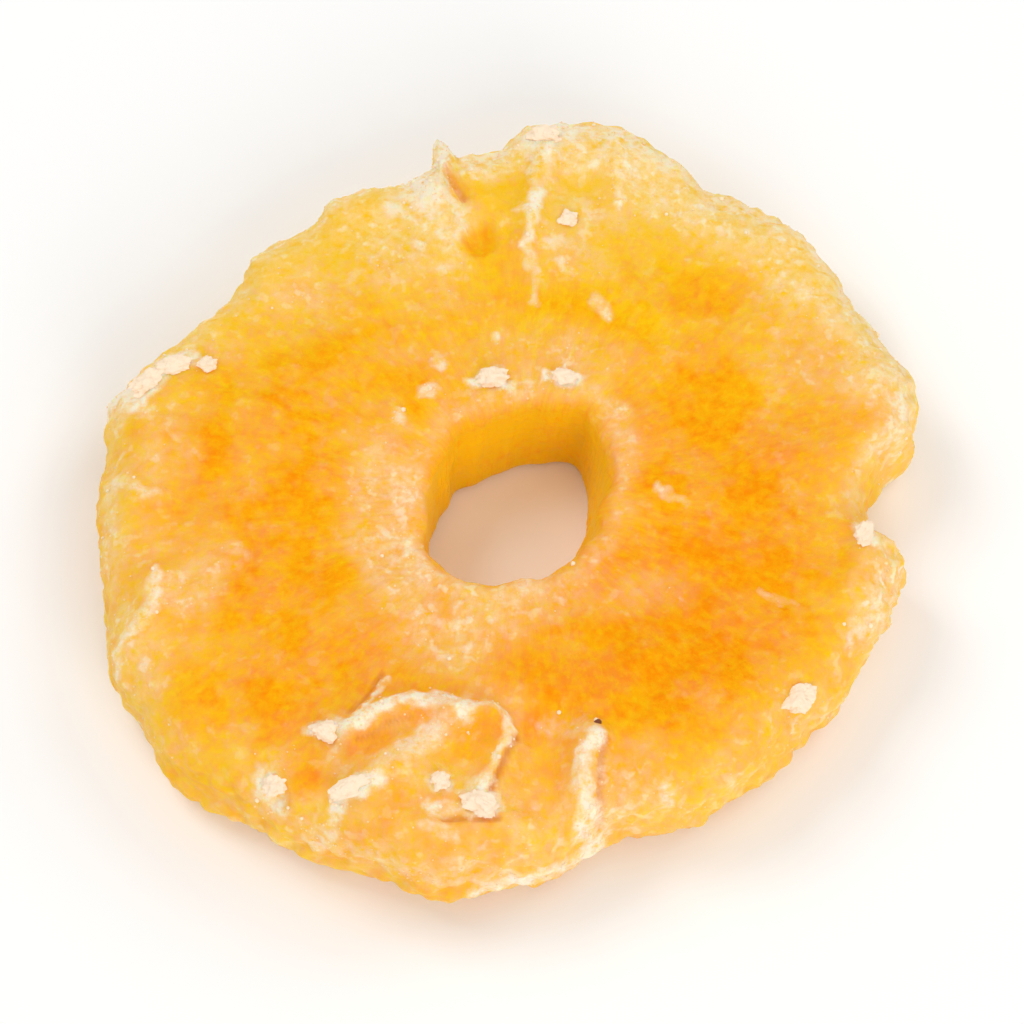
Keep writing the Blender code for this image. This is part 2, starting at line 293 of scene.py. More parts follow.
HOLLOWS = (
    (((-11.8, -26.3), (-9.6, -25.2)), 1.2, 0.4),
    (((-5.2, -27.4), (-2.4, -25.3)), 1.6, 0.4),
    (((2.6, -24.6), (2.4, -31.0)), 2.4, 0.9),
    (((-9.0, -31.2), (-5.2, -32.6)), 1.5, 0.6),
    (((10.0, -26.8), (9.8, -29.8)), 1.7, 0.9),
    (((-6.2, 33.4), (-5.8, 30.9), (-4.2, 27.6)), 0.7, 0.6),
    (((-2.8, 23.2), (-2.8, 23.7)), 1.5, 1.3),
    (((14.5, 17.6), (20.0, 18.6)), 4.4, 0.3),
)
FOLD_FOOT = 2.0
HOLLOW_BRIM = 1.4


def distance_to_path(place, path):
    """Shortest way from each place to a path of straight pieces."""
    nearest = np.full(len(place), np.inf)
    for start, end in zip(path, path[1:]):
        start, end = np.array(start), np.array(end)
        run = end - start
        share = np.clip((place - start) @ run / (run @ run), 0.0, 1.0)
        gap = np.linalg.norm(place - start - share[:, None] * run, axis=1)
        nearest = np.minimum(nearest, gap)
    return nearest


def noise_at(place, size, level=0.0):
    """Blender's own noise at each place, for lumps of about the given size."""
    if place.shape[1] == 2:
        place = np.column_stack((place, np.full(len(place), level)))
    return np.array([noise.noise(Vector(point)) for point in place / size])


print("folds and hollows:", len(FOLDS), len(HOLLOWS))

# %% [markdown]
# ## Spin the section into a fine mesh
# The cross-section is walked once, from the edge of the hole over the top, down
# the rim, under the slice and up the hole's wall. Every step of the turn repeats
# that walk. More points go to the top and the rim, which show, than to the flat
# underside, so the mesh stays under the count that the export allows.

# %% Fine section
TURN_STEPS = 620
SWELL_HEIGHT, SWELL_SIZE = 1.2, 16.0
LUMP_HEIGHT, LUMP_SIZE = 0.3, 4.5
LUMP_SHEET = 0.05 / LUMP_SIZE
RIM_LUMP_DEPTH, RIM_LUMP_SIZE = 1.0, 6.5
RIM_TOOTH_DEPTH, RIM_TOOTH_SIZE = 0.5, 1.3
RIM_TOOTH_START, RIM_TOOTH_FADE = 0.8, 0.2
CURL_HEIGHT, CURL_SIZE, CURL_START = 2.2, 13.0, 0.78
CURL_SHEET = 0.02 / CURL_SIZE
RELIEF_FLOOR = 0.2
# Points on each stretch of the section, in the order that fine_section walks it
SECTION_STEPS = (6, 72, 20, 9, 12, 14, 4, 18)


def section_corner(centre, reach, start, steps):
    """Points of a quarter ellipse turning clockwise, without its last point."""
    angle = start - np.pi / 2 * np.arange(steps) / steps
    return np.column_stack((centre[0] + reach[0] * np.cos(angle), centre[1] + reach[1] * np.sin(angle)))


def section_run(start, end, steps):
    """Evenly spaced points from a start up to, and without, an end."""
    share = (np.arange(steps) / steps)[:, None]
    return np.array(start) * (1 - share) + np.array(end) * share


def fine_section():
    """Closed cross-section: x from the hole's wall to the rim, z up from the table."""
    top, width = SLICE_THICKNESS, FLESH_WIDTH
    edge, face, rim, wall, foot, base, hole_foot, hole_wall = SECTION_STEPS
    return np.vstack((
        section_corner((HOLE_TOP_ROUND[0], top - HOLE_TOP_ROUND[1]), HOLE_TOP_ROUND, np.pi, edge),
        section_run((HOLE_TOP_ROUND[0], top), (width - RIM_TOP_ROUND[0], top), face),
        section_corner((width - RIM_TOP_ROUND[0], top - RIM_TOP_ROUND[1]), RIM_TOP_ROUND, np.pi / 2, rim),
        section_run((width, top - RIM_TOP_ROUND[1]), (width, RIM_BASE_ROUND[1]), wall),
        section_corner((width - RIM_BASE_ROUND[0], RIM_BASE_ROUND[1]), RIM_BASE_ROUND, 0.0, foot),
        section_run((width - RIM_BASE_ROUND[0], 0.0), (HOLE_BASE_ROUND[0], 0.0), base),
        section_corner((HOLE_BASE_ROUND[0], HOLE_BASE_ROUND[1]), HOLE_BASE_ROUND, -np.pi / 2, hole_foot),
        section_run((0.0, HOLE_BASE_ROUND[1]), (0.0, top - HOLE_TOP_ROUND[1]), hole_wall),
    ))


section = fine_section()
print("section points:", len(section), "faces as triangles:", 2 * len(section) * TURN_STEPS)

# %% Shape the fine mesh
def face_relief(place):
    """Height of folds, less the depth of hollows, at each place on the upper face."""
    height = np.zeros(len(place))
    for path, half_width, rise in FOLDS:
        height += rise * smooth_step(1.0 - distance_to_path(place, path) / (FOLD_FOOT * half_width))
    for path, half_width, drop in HOLLOWS:
        height -= drop * smooth_step(1.0 - distance_to_path(place, path) / (HOLLOW_BRIM * half_width))
    return height


def shaped_points(angle, across, height):
    """Put each point of the plain section onto the lobed, folded slice."""
    inner = hole_edge(angle, height)
    direction = np.column_stack((np.cos(angle), np.sin(angle)))
    outer = direction * rim_reach(angle)[:, None]
    wall = np.column_stack((outer, height))
    outer_lumped = outer + direction * (RIM_LUMP_DEPTH * noise_at(wall, RIM_LUMP_SIZE))[:, None]
    place = inner + (outer_lumped - inner) * across[:, None]
    near_rim = smooth_step((across - RIM_TOOTH_START) / RIM_TOOTH_FADE)
    place += direction * (RIM_TOOTH_DEPTH * (noise_at(wall, RIM_TOOTH_SIZE) * near_rim))[:, None]
    face = SWELL_HEIGHT * noise_at(place, SWELL_SIZE)
    face += LUMP_HEIGHT * noise_at(place, LUMP_SIZE, LUMP_SHEET)
    face += face_relief(place)
    curl = CURL_HEIGHT * np.maximum(noise_at(outer_lumped, CURL_SIZE, CURL_SHEET), 0.0)
    curl *= smooth_step((across - CURL_START) / (1.0 - CURL_START))
    upper = smooth_step((height / SLICE_THICKNESS - RELIEF_FLOOR) / (1.0 - RELIEF_FLOOR))
    return np.column_stack((place, height + upper * face + (1.0 - upper) * curl))


turn = np.repeat(np.arange(TURN_STEPS) / TURN_STEPS * 2 * np.pi, len(section))
across = np.tile(section[:, 0] / FLESH_WIDTH, TURN_STEPS)
level = np.tile(section[:, 1], TURN_STEPS)
points = shaped_points(turn, across, level)
low, high = points.min(axis=0), points.max(axis=0)
shift = np.array((-(low[0] + high[0]) / 2, -(low[1] + high[1]) / 2, 0.0))
points += shift
print("shift to the middle, mm:", shift.round(2), "box, mm:", (high - low).round(1))

# %% Base mesh of the flesh
def ring_faces(turns, ring):
    """Quads that join each section to the next, pointing outwards."""
    first = np.arange(turns)[:, None] * ring
    second = (np.arange(turns)[:, None] + 1) % turns * ring
    here = np.arange(ring)[None, :]
    ahead = (here + 1) % ring
    quads = np.stack((first + here, first + ahead, second + ahead, second + here), axis=2)
    return quads.reshape(-1, 4)


flesh_mesh = bpy.data.meshes.new("pineapple_flesh")
flesh_mesh.from_pydata((points * MM).tolist(), [], ring_faces(TURN_STEPS, len(section)).tolist())
flesh_mesh.shade_smooth()
flesh = bpy.data.objects.new("pineapple_flesh", flesh_mesh)
bpy.context.scene.collection.objects.link(flesh)
probe = bmesh.new()
probe.from_mesh(flesh_mesh)
print("volume, cm3:", round(probe.calc_volume(signed=True) * 1e6, 1))
probe.free()

# %% [markdown]
# ## Where the sugar sits
# Syrup dries clear in the hollows and the sugar turns white on what is high,
# torn or rubbed. Four values are painted on the points of the mesh by rule: the
# frost, a thin peach bloom; the sugar, thick and nearly white; the crack, dark
# and sunk; and the depth of the orange, because clear thick flesh is deeper in
# colour than a thin edge. In the core hole the depth is lowered, so its shaded
# wall is painted lighter and yellower: painted light, for the glow that comes
# through the flesh. Frost comes in soft oval patches, with clear windows in it.
# Sugar and cracks follow paths, as sugar does on the crest of a fold.
# Those on the outer wall go by direction and height. On the front wall they
# paint sugar and a painted highlight along the bulge of the wall.

# %% Patches of frost, and clear windows
# Place in mm, half length and half width in mm, turn in degrees, strength
FROST_PATCHES = (
    ((-7.8, 28.6), 6.0, 1.9, -66.0, 0.6),
    ((-17.5, 22.5), 14.0, 6.5, 39.0, 0.2),
    ((4.6, 33.0), 7.0, 3.2, 0.0, 0.5),
    ((5.5, 24.0), 5.5, 5.0, 30.0, 0.21),
    ((-3.4, 31.2), 2.4, 2.2, 0.0, 0.45),
    ((-7.6, 22.4), 4.2, 6.0, -10.0, 0.25),
    ((-29.5, 3.5), 2.8, 5.0, 10.0, 0.14),
    ((14.0, 29.5), 12.0, 3.2, -32.0, 0.26),
    ((18.5, 24.0), 9.0, 4.0, -35.0, 0.18),
    ((31.0, 14.0), 3.2, 15.0, 22.0, 0.16),
    ((27.5, 13.5), 6.0, 9.0, 20.0, 0.15),
    ((0.5, 11.5), 9.5, 3.0, 0.0, 0.16),
    ((-10.5, -2.5), 3.4, 7.5, 5.0, 0.28),
    ((-5.5, -14.6), 6.5, 5.0, -25.0, 0.26),
    ((6.5, -12.2), 9.0, 2.4, 12.0, 0.2),
    ((8.9, 6.2), 1.9, 1.3, -40.0, 0.3),
    ((-6.0, -28.0), 14.0, 6.0, 0.0, 0.14),
    ((-6.0, -34.0), 15.0, 3.4, -4.0, 0.05),
    ((10.0, -31.0), 7.0, 4.4, 20.0, 0.12),
    ((-23.8, -8.1), 1.3, 1.0, 0.0, 0.35),
    ((-26.6, -11.4), 3.4, 1.7, 10.0, 0.16),
    ((7.8, 16.6), 0.7, 0.7, 0.0, 0.6),
    ((-33.0, -5.0), 3.4, 6.5, 0.0, 0.17),
    ((-31.0, -16.0), 3.6, 9.0, -25.0, 0.14),
    ((32.5, -8.0), 2.6, 7.0, -10.0, 0.3),
    ((22.5, -26.0), 12.0, 3.0, 42.0, 0.1),
)
CLEAR_WINDOWS = (
    ((-2.8, 23.0), 1.8, 1.8, 0.0, 0.9),
    ((17.6, 18.4), 4.6, 2.6, 15.0, 0.75),
    ((14.5, -13.0), 9.0, 7.5, 35.0, 0.32),
    ((6.0, -19.8), 4.5, 2.4, 0.0, 0.6),
    ((16.0, 3.0), 6.0, 9.0, 0.0, 0.12),
    ((-17.2, -29.3), 1.0, 1.4, 0.0, 0.7),
    ((-12.0, -26.1), 2.4, 0.9, 25.0, 0.55),
    ((-2.7, -25.8), 2.5, 1.5, 40.0, 0.45),
    ((2.2, -24.0), 1.3, 1.7, 0.0, 0.5),
    ((-0.2, 19.6), 1.6, 3.2, 0.0, 0.4),
)


def patch_mask(place, patches, brim):
    """Blend of soft ovals; each fades over its outer part, whose share is the brim."""
    left_bare = np.ones(len(place))
    for (x, y), half_length, half_width, turn_degrees, strength in patches:
        turned = math.radians(turn_degrees)
        along = (place[:, 0] - x) * math.cos(turned) + (place[:, 1] - y) * math.sin(turned)
        beside = (place[:, 1] - y) * math.cos(turned) - (place[:, 0] - x) * math.sin(turned)
        gap = np.sqrt((along / half_length) ** 2 + (beside / half_width) ** 2)
        left_bare *= 1.0 - strength * smooth_step((1.0 + brim - gap) / (2 * brim))
    return 1.0 - left_bare


print("frost patches:", len(FROST_PATCHES), "clear windows:", len(CLEAR_WINDOWS))

# %% Strokes of sugar, with a painted highlight on the front wall, and cracks
# Path in mm, half width in mm, strength
SUGAR_STROKES = (
    (((-13.4, -24.7), (-12.2, -23.7), (-10.5, -22.8), (-8.2, -22.3)), 0.7, 1.0),
    (((-8.2, -22.5), (-6.4, -22.6), (-4.6, -22.8), (-4.2, -23.8)), 0.9, 0.75),
    (((-4.1, -23.0), (-2.1, -23.0), (-0.6, -23.8), (0.0, -25.2)), 0.4, 0.55),
    (((0.0, -25.2), (-0.6, -26.7), (-1.4, -28.5), (-2.3, -29.8)), 0.5, 0.7),
    (((-16.2, -24.9), (-14.4, -25.1)), 0.9, 1.0),
    (((-14.6, -31.2), (-11.9, -29.7)), 0.9, 1.0),
    (((-11.9, -29.6), (-10.5, -28.1), (-8.2, -26.7), (-6.2, -25.3), (-4.4, -23.6)), 1.3, 0.5),
    (((-20.6, -28.7), (-19.2, -30.2)), 0.9, 0.8),
    (((-20.0, -27.0), (-21.6, -30.6)), 1.6, 0.2),
    (((-3.4, -30.5), (-2.6, -31.7), (-1.6, -31.9)), 0.9, 1.0),
    (((-6.8, -32.0), (-3.5, -32.2)), 0.6, 0.7),
    (((-6.1, -29.8), (-5.7, -29.8)), 0.75, 0.85),
    (((3.4, -23.6), (6.6, -24.8), (6.9, -26.0)), 1.2, 0.3),
    (((6.8, -25.8), (6.2, -27.6), (6.4, -30.2), (6.2, -34.2)), 0.85, 0.85),
    (((9.6, -32.6), (12.8, -31.6), (13.1, -29.5)), 0.65, 0.5),
    (((-16.2, -33.0), (-15.0, -33.6)), 1.1, 0.4),
    (((-7.4, -33.6), (-4.6, -34.4)), 0.7, 0.35),
    (((10.0, 34.6), (17.0, 30.8), (25.6, 25.6), (31.6, 17.6), (35.2, 10.4)), 1.2, 0.4),
    (((-34.8, -0.6), (-30.9, -2.0)), 0.7, 0.45),
    (((-10.2, -19.7), (-12.8, -23.4)), 0.25, 0.7),
    (
        ((-30.3, -9.9), (-30.5, -12.6), (-32.2, -14.4), (-33.9, -16.4), (-33.7, -18.4)),
        0.6, 0.6,
    ),
    (((-33.4, 8.6), (-31.0, 10.1), (-28.8, 11.5)), 1.5, 1.0),
    (((-31.2, 9.4), (-32.0, 6.9)), 0.8, 0.9),
    (((-34.5, 9.4), (-35.0, 7.0)), 0.7, 0.8),
    (((-26.6, 10.8), (-26.4, 10.8)), 0.6, 0.9),
    (((1.9, 33.9), (4.6, 34.8)), 1.2, 1.0),
    (((4.6, 35.8), (9.6, 35.4)), 1.1, 0.6),
    (((2.9, 32.6), (2.4, 29.8), (1.9, 27.0)), 0.85, 0.85),
    (((1.9, 27.0), (1.7, 23.0)), 0.5, 0.7),
    (((1.7, 23.0), (2.1, 16.6)), 0.45, 0.4),
    (((0.7, 26.0), (0.9, 26.0)), 0.7, 0.6),
    (((3.4, 22.6), (5.2, 22.9)), 0.8, 0.4),
    (((4.0, 20.8), (4.9, 19.9)), 0.6, 0.4),
    (((9.6, 27.7), (9.6, 27.2)), 0.5, 0.8),
    (((-8.3, 23.0), (-8.1, 22.8)), 0.55, 0.5),
    (((9.3, 33.9), (9.7, 27.4)), 0.4, 0.35),
    (((-9.4, 30.6), (-7.0, 27.2)), 1.5, 0.75),
    (((-6.7, 36.8), (-6.6, 34.5), (-6.3, 31.8)), 0.55, 1.0),
    (((-4.6, 32.6), (-3.2, 29.6)), 0.5, 0.5),
    (((-2.9, 9.1), (-1.6, 10.2), (-0.4, 9.0)), 0.6, 0.95),
    (((3.4, 9.5), (6.2, 9.2)), 0.6, 0.85),
    (((4.7, 9.4), (4.9, 11.2)), 0.25, 0.5),
    (((-6.3, 11.0), (-5.9, 11.0)), 0.6, 0.6),
    (((-7.5, 8.0), (-7.1, 8.2)), 0.8, 0.65),
    (((-10.2, 5.5), (-9.8, 5.7)), 0.7, 0.6),
    (((-1.7, 13.7), (-1.5, 13.7)), 0.45, 0.6),
    (((30.0, -5.0), (31.4, -6.4)), 0.65, 0.9),
    (((12.8, -2.0), (15.0, -2.6)), 0.6, 0.4),
    (((21.8, -11.4), (24.0, -12.0)), 0.6, 0.3),
    (((28.8, -14.8), (30.6, -14.0)), 0.8, 0.4),
    (((23.4, -1.0), (23.6, -1.0)), 0.5, 0.5),
    (((31.1, 6.5), (31.3, 6.5)), 0.5, 0.5),
    (((-8.0, -13.4), (-4.4, -14.8)), 0.7, 0.35),
    (((-6.0, -17.6), (-3.0, -16.6)), 0.6, 0.35),
)
CRACKS = (
    (((-6.2, 33.6), (-5.8, 30.7), (-4.2, 27.4)), 0.28, 0.5),
    (((0.6, -25.2), (-0.4, -28.0), (-1.8, -30.6)), 0.3, 0.8),
    (((-1.0, -33.0), (-5.6, -33.0)), 0.3, 0.6),
    (((7.9, -25.6), (7.7, -29.6), (7.3, -33.0)), 0.3, 0.7),
    (((-13.6, -23.2), (-10.8, -19.6)), 0.2, 0.6),
    (((-13.0, -26.0), (-10.6, -24.5), (-8.4, -24.0)), 0.2, 0.4),
)
# On the front wall these strokes paint sugar and a painted highlight along the bulge of the wall
# Path in degrees round the rim and mm up, half width in mm, strength
WALL_SUGAR_AND_HIGHLIGHT_STROKES = (
    (((282.0, 9.0), (283.0, 4.6), (281.5, 2.6)), 0.9, 0.8),
    (((282.0, 3.2), (277.0, 4.2), (271.0, 4.2), (265.5, 3.4)), 1.2, 0.75),
    (((268.0, 6.0), (257.0, 6.8), (250.0, 7.2)), 1.6, 0.26),
    (((245.5, 7.6), (244.0, 6.2)), 1.3, 0.6),
)
STROKE_SOFTNESS = 0.7


def stroke_mask(place, strokes):
    """Blend of soft strokes: full along the middle of each path, fading past its half width."""
    left_bare = np.ones(len(place))
    for path, half_width, strength in strokes:
        gap = distance_to_path(place, path) / half_width
        left_bare *= 1.0 - strength * smooth_step((1.0 + STROKE_SOFTNESS - gap) / (2 * STROKE_SOFTNESS))
    return 1.0 - left_bare


print("sugar strokes:", len(SUGAR_STROKES) + len(WALL_SUGAR_AND_HIGHLIGHT_STROKES), "cracks:", len(CRACKS))

# %% Places for painting
WOBBLE_SIZE, WOBBLE_SHEETS = 3.0, (1.3, 7.7)
RAGGED_SIZE, RAGGED_SHEETS = 1.0, (2.2, 8.8)


def push_at(place, size, sheets):
    """Push in x and in y at each place, from two sheets of the same noise."""
    return np.column_stack([noise_at(place, size, sheet) for sheet in sheets])


plain_place = points[:, :2] - shift[:2]
body_place = np.column_stack((plain_place, level))
to_rim = (1.0 - across) * FLESH_WIDTH
to_hole = across * FLESH_WIDTH
wobble = push_at(plain_place, WOBBLE_SIZE, WOBBLE_SHEETS)
ragged = push_at(plain_place, RAGGED_SIZE, RAGGED_SHEETS)
print("points to paint:", len(plain_place))

# %% Paint the frost
RIM_FROST, RIM_FROST_REACH = 0.1, 3.0
RIM_LINE, RIM_LINE_REACH, RIM_LINE_PLACE = 0.2, 0.8, 1.1
RIM_LINE_START, RIM_LINE_FADE = -30.0, 20.0
HOLE_FROST, HOLE_FROST_REACH, HOLE_FROST_PLACE = 0.22, 1.2, 1.5
PATCH_WOBBLE, PATCH_BRIM = 2.2, 0.55
WINDOW_WOBBLE, WINDOW_BRIM = 0.6, 0.25
BLOTCH_SIZES_AND_SHARES = ((5.0, 1.0), (2.2, 0.6), (1.0, 0.5))
BLOTCH_IN_FROST = 0.5
HAZE, HAZE_START, HAZE_FADE = 0.055, -0.25, 0.6
HOLE_WALL_REACH, HOLE_WALL_DROP, HOLE_WALL_CLEARING = 0.8, 2.0, 0.9

off_front = smooth_step((plain_place[:, 1] - RIM_LINE_START) / RIM_LINE_FADE)
rim_frost = RIM_FROST * np.exp(-(to_rim / RIM_FROST_REACH) ** 2)
rim_frost += RIM_LINE * off_front * np.exp(-((to_rim - RIM_LINE_PLACE) / RIM_LINE_REACH) ** 2)
hole_frost = HOLE_FROST * np.exp(-((to_hole - HOLE_FROST_PLACE) / HOLE_FROST_REACH) ** 2)
clear = patch_mask(plain_place + WINDOW_WOBBLE * wobble, CLEAR_WINDOWS, WINDOW_BRIM)
frost = patch_mask(plain_place + PATCH_WOBBLE * wobble, FROST_PATCHES, PATCH_BRIM)
blotch = sum(share * noise_at(body_place, size) for size, share in BLOTCH_SIZES_AND_SHARES)
haze = HAZE * smooth_step((blotch - HAZE_START) / HAZE_FADE)
frost = 1.0 - (1.0 - frost) * (1.0 - rim_frost) * (1.0 - hole_frost) * (1.0 - haze)
frost = np.clip(frost * (1.0 + BLOTCH_IN_FROST * blotch), 0.0, 1.0) * (1.0 - clear)
in_hole = smooth_step(1.0 - to_hole / HOLE_WALL_REACH)
in_hole *= smooth_step((SLICE_THICKNESS - level) / HOLE_WALL_DROP)
frost *= 1.0 - HOLE_WALL_CLEARING * in_hole
print("most frost:", round(float(frost.max()), 2))

# %% Paint the sugar, with a painted highlight on the front wall, and the cracks
UPPER_SIDE_START, UPPER_SIDE_FADE = 0.4, 0.3
STROKE_WOBBLE, STROKE_RAGGEDNESS, CRACK_WOBBLE = 0.6, 0.6, 0.3
MM_PER_DEGREE = 0.61
WALL_THICKNESS = 3.0
BREAK_STRENGTH, BREAK_SIZE, SUGAR_MOST = 0.9, 1.7, 1.1


def unsteady(place):
    """Places pushed about, so that the edge of a stroke wanders and is ragged."""
    return place + STROKE_WOBBLE * wobble + STROKE_RAGGEDNESS * ragged


upper_side = smooth_step((level / SLICE_THICKNESS - UPPER_SIDE_START) / UPPER_SIDE_FADE)
sugar = stroke_mask(unsteady(plain_place), SUGAR_STROKES) * upper_side
wall_place = np.column_stack((np.degrees(turn) * MM_PER_DEGREE, level))
wall_sugar_and_highlight_paths = tuple(
    (tuple((degrees * MM_PER_DEGREE, z) for degrees, z in path), half_width, strength)
    for path, half_width, strength in WALL_SUGAR_AND_HIGHLIGHT_STROKES
)
on_wall = smooth_step((WALL_THICKNESS - to_rim) / WALL_THICKNESS)
# The wall strokes add sugar and a painted highlight along the bulge of the front wall
sugar = np.maximum(sugar, stroke_mask(unsteady(wall_place), wall_sugar_and_highlight_paths) * on_wall)
sugar *= np.clip(1.0 + BREAK_STRENGTH * noise_at(body_place, BREAK_SIZE), 0.0, SUGAR_MOST)
crack = stroke_mask(plain_place + CRACK_WOBBLE * wobble, CRACKS) * upper_side
print("most sugar:", round(float(sugar.max()), 2))

# %% Paint the depth of the orange
PLAIN_DEPTH, LEAST_DEPTH, MOST_DEPTH = 0.55, -0.8, 1.0
# The orange deepens a little on a slant from the back left to the front right
SLANT, SLANT_START, SLANT_FADE = 1.4, -20.0, 60.0
BACK_FADE = 28.0
CRUMPLED_MIDDLE, CRUMPLED_REACH, CRUMPLED_START, CRUMPLED_FADE = -4.0, 18.0, -20.0, 8.0
THIN_RIM = 5.0
FLAT_FACE_LEVEL = 10.9

x, y = plain_place[:, 0], plain_place[:, 1]
to_front_right = smooth_step((x - SLANT * y - SLANT_START) / SLANT_FADE)
to_back = smooth_step(y / BACK_FADE)
crumpled_front = smooth_step((CRUMPLED_REACH - np.abs(x - CRUMPLED_MIDDLE)) / CRUMPLED_FADE)
crumpled_front *= smooth_step((CRUMPLED_START - y) / CRUMPLED_FADE)
thin = (1.0 - crumpled_front) * np.exp(-(to_rim / THIN_RIM) ** 2)
# The core hole's shaded wall is painted lighter and yellower by in_hole: painted light, for the glow that
# comes through the flesh
depth_shares = (
    (0.06, to_front_right), (-0.5, to_back), (0.3, clear),
    (-0.35, thin), (-0.22, crumpled_front), (-0.6, in_hole),
)
depth = PLAIN_DEPTH
for share, mask in depth_shares:
    depth = depth + share * mask
depth = np.clip(depth, LEAST_DEPTH, MOST_DEPTH)
for name, values in (("frost", frost), ("sugar", sugar), ("crack", crack), ("depth", depth)):
    attribute = flesh_mesh.attributes.new(name, "FLOAT", "POINT")
    attribute.data.foreach_set("value", values.astype(np.float32))
    print(name, "mean on the upper face:", round(float(values[level > FLAT_FACE_LEVEL].mean()), 2))

# %% Paint the way of the fibres
FIBRE_REACH = 18.0
FIBRE_LENGTH = 3.2
FIBRE_SLOPE = 0.6

fibre_run = (FLESH_WIDTH * across - FIBRE_SLOPE * level) / FIBRE_LENGTH
fibre_way = np.column_stack((FIBRE_REACH * np.cos(turn), FIBRE_REACH * np.sin(turn), fibre_run))
attribute = flesh_mesh.attributes.new("fibre_way", "FLOAT_VECTOR", "POINT")
attribute.data.foreach_set("vector", fibre_way.astype(np.float32).ravel())
print("fibre pattern runs out from the core in lengths of", FIBRE_LENGTH, "mm")

# %% [markdown]
# ## Candied flesh
# Candied fruit is sugar syrup held in fibre: light goes in, scatters a few
# millimetres and comes out deep orange. That is subsurface scattering, with red
# going furthest. On top lies the frost, which is rougher and paler, and thick
# sugar, which is nearly white. Small flecks of thick sugar stand in the frost.
# The real index of refraction of dried syrup is about 1.49.

# %% Colour of the bare flesh
THIN_ORANGE, DEEP_ORANGE, CRACK_ORANGE = "#FFC40C", "#FF9300", "#D8780C"
CLOUD_SIZE, CLOUD_IN_SHADE = 5 * MM, 0.9
MOTTLE_IN_SHADE = 1.4
# Clouds and fibres add about this much to the painted depth, so it is taken out again
NOISE_MEAN = 0.93


def mix_colours(tree, factor, first, second):
    """Blend two colours, or colour sockets, by a factor socket."""
    return add_node(tree, "ShaderNodeMix", {0: factor, 6: first, 7: second}, data_type="RGBA").outputs[2]


def bare_flesh(tree, place, fibre, mottle, painted):
    """Yellow where the flesh is thin or painted light in the core hole, orange where deep, dark in a crack.
    """
    cloud = add_node(tree, NOISE, {"Vector": place, "Scale": 1 / CLOUD_SIZE, "Detail": 4.0})
    shade = add_node(tree, MATH, {0: cloud, 1: CLOUD_IN_SHADE, 2: painted["depth"]}, operation="MULTIPLY_ADD")
    streak = add_node(tree, MATH, {0: fibre, 1: NOISE_MEAN}, operation="SUBTRACT")
    shade = add_node(tree, MATH, {0: shade, 1: streak}, operation="ADD")
    shade = add_node(
        tree, MATH, {0: mottle, 1: MOTTLE_IN_SHADE, 2: shade}, operation="MULTIPLY_ADD", use_clamp=True
    )
    colour = mix_colours(tree, shade, linear(THIN_ORANGE), linear(DEEP_ORANGE))
    return mix_colours(tree, painted["crack"], colour, linear(CRACK_ORANGE))


print("flesh colours:", THIN_ORANGE, DEEP_ORANGE, CRACK_ORANGE)

# %% Frost and thick sugar over it
WISP_SIZE, WISP_IN_VEIL, WISP_SHIFT = 3.2 * MM, 1.6, -0.8
MOTTLE_IN_VEIL = 3.6
MOTTLE_IN_CRUST, CRUST_START = 2.8, 0.14
FLECK_SIZE, FLECK_START, FLECK_END, FLECK_STRENGTH = 1.2 * MM, 0.58, 0.68, 1.2


def frost_veil(tree, place, mottle, painted):
    """How much the thin frost hides: uneven in mottles and in wisps."""
    wisp = add_node(
        tree, NOISE, {"Vector": place, "Scale": 1 / WISP_SIZE, "Detail": 2.0, "Distortion": 0.8}
    )
    wisp = add_node(tree, MATH, {0: wisp, 1: WISP_IN_VEIL, 2: WISP_SHIFT}, operation="MULTIPLY_ADD")
    uneven = add_node(tree, MATH, {0: mottle, 1: MOTTLE_IN_VEIL, 2: 1.0}, operation="MULTIPLY_ADD")
    uneven = add_node(tree, MATH, {0: uneven, 1: wisp}, operation="ADD")
    return add_node(tree, MATH, {0: painted["frost"], 1: uneven}, operation="MULTIPLY", use_clamp=True)


def sugar_crust(tree, place, mottle, painted):
    """How much thick sugar hides, and the painted highlight on the front wall: the painted strokes, and
    flecks where there is frost.
    """
    crust = add_node(tree, MATH, {0: mottle, 1: MOTTLE_IN_CRUST, 2: 1.0}, operation="MULTIPLY_ADD")
    crust = add_node(tree, MATH, {0: crust, 1: painted["sugar"]}, operation="MULTIPLY")
    crust = add_node(tree, MAP_RANGE, {"Value": crust, "From Min": CRUST_START, "From Max": 1.0})
    fleck = add_node(tree, NOISE, {"Vector": place, "Scale": 1 / FLECK_SIZE, "Detail": 2.0})
    fleck = add_node(
        tree, MAP_RANGE,
        {"Value": fleck, "From Min": FLECK_START, "From Max": FLECK_END, "To Max": FLECK_STRENGTH},
    )
    fleck = add_node(tree, MATH, {0: fleck, 1: painted["frost"]}, operation="MULTIPLY")
    return add_node(tree, MATH, {0: crust, 1: fleck}, operation="MAXIMUM", use_clamp=True)


print("wisps and flecks, mm:", round(WISP_SIZE / MM, 1), round(FLECK_SIZE / MM, 1))

# %% Flesh material
# The crust colour also paints the highlight along the bulge of the front wall
FROST_COLOUR, CRUST_AND_HIGHLIGHT_COLOUR = "#FFE6BC", "#FFEED2"
FIBRE_SCALE, FIBRE_IN_BUMP = 1.6, 0.35
MOTTLE_SIZE = 0.8 * MM
COVERED_AT, WET_ROUGHNESS, SUGARED_ROUGHNESS = 0.4, 0.36, 0.7
BUMP_STRENGTH, BUMP_HEIGHT = 0.7, 0.25 * MM
SYRUP = {
    "IOR": 1.49,
    "Specular IOR Level": 0.04,
    "Subsurface Weight": 0.5,
    "Subsurface Radius": (2.4, 0.6, 0.12),
    "Subsurface Scale": 1.5 * MM,
}


